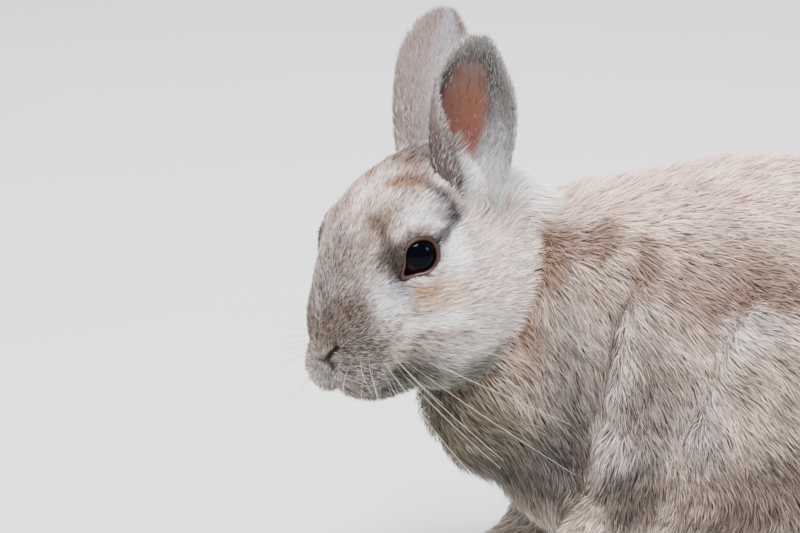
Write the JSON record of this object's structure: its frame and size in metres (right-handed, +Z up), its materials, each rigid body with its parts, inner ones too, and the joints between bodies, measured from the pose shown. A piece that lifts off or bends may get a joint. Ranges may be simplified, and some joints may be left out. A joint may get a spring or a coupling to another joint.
{
  "type": "rabbit",
  "caption": "Life-size still model of a small fawn domestic rabbit crouched on all fours, head turned to its left.",
  "frame": {"origin": "on the floor, under the middle of the bounding box", "axes": "+Z up, nose towards -X, the rabbit's left side towards -Y"},
  "size_m": [0.2982, 0.1398, 0.2074],
  "materials": {
    "coat_head": "short soft fur, fawn with white and grey",
    "coat_body": "soft fur, pinkish fawn with grey-brown ticking",
    "coat_limb": "soft fur, cream and grey",
    "coat_paw": "short dense fur, cream",
    "ear": "thin skin with short fur",
    "eye": "wet, glossy, near black"
  },
  "bodies": {
    "root": {"head": "coat_head", "neck": "coat_body", "chest": "coat_body", "loin": "coat_body", "rump": "coat_body", "tail": "coat_body", "upper_arm_left": "coat_limb", "forearm_left": "coat_limb", "thigh_left": "coat_limb", "shank_left": "coat_limb", "upper_arm_right": "coat_limb", "forearm_right": "coat_limb", "thigh_right": "coat_limb", "shank_right": "coat_limb", "forepaw_left": "coat_paw", "hindfoot_left": "coat_paw", "forepaw_right": "coat_paw", "hindfoot_right": "coat_paw", "ear_left": "ear", "ear_right": "ear", "eye_left": "eye", "eye_right": "eye"}
  },
  "joints": []
}
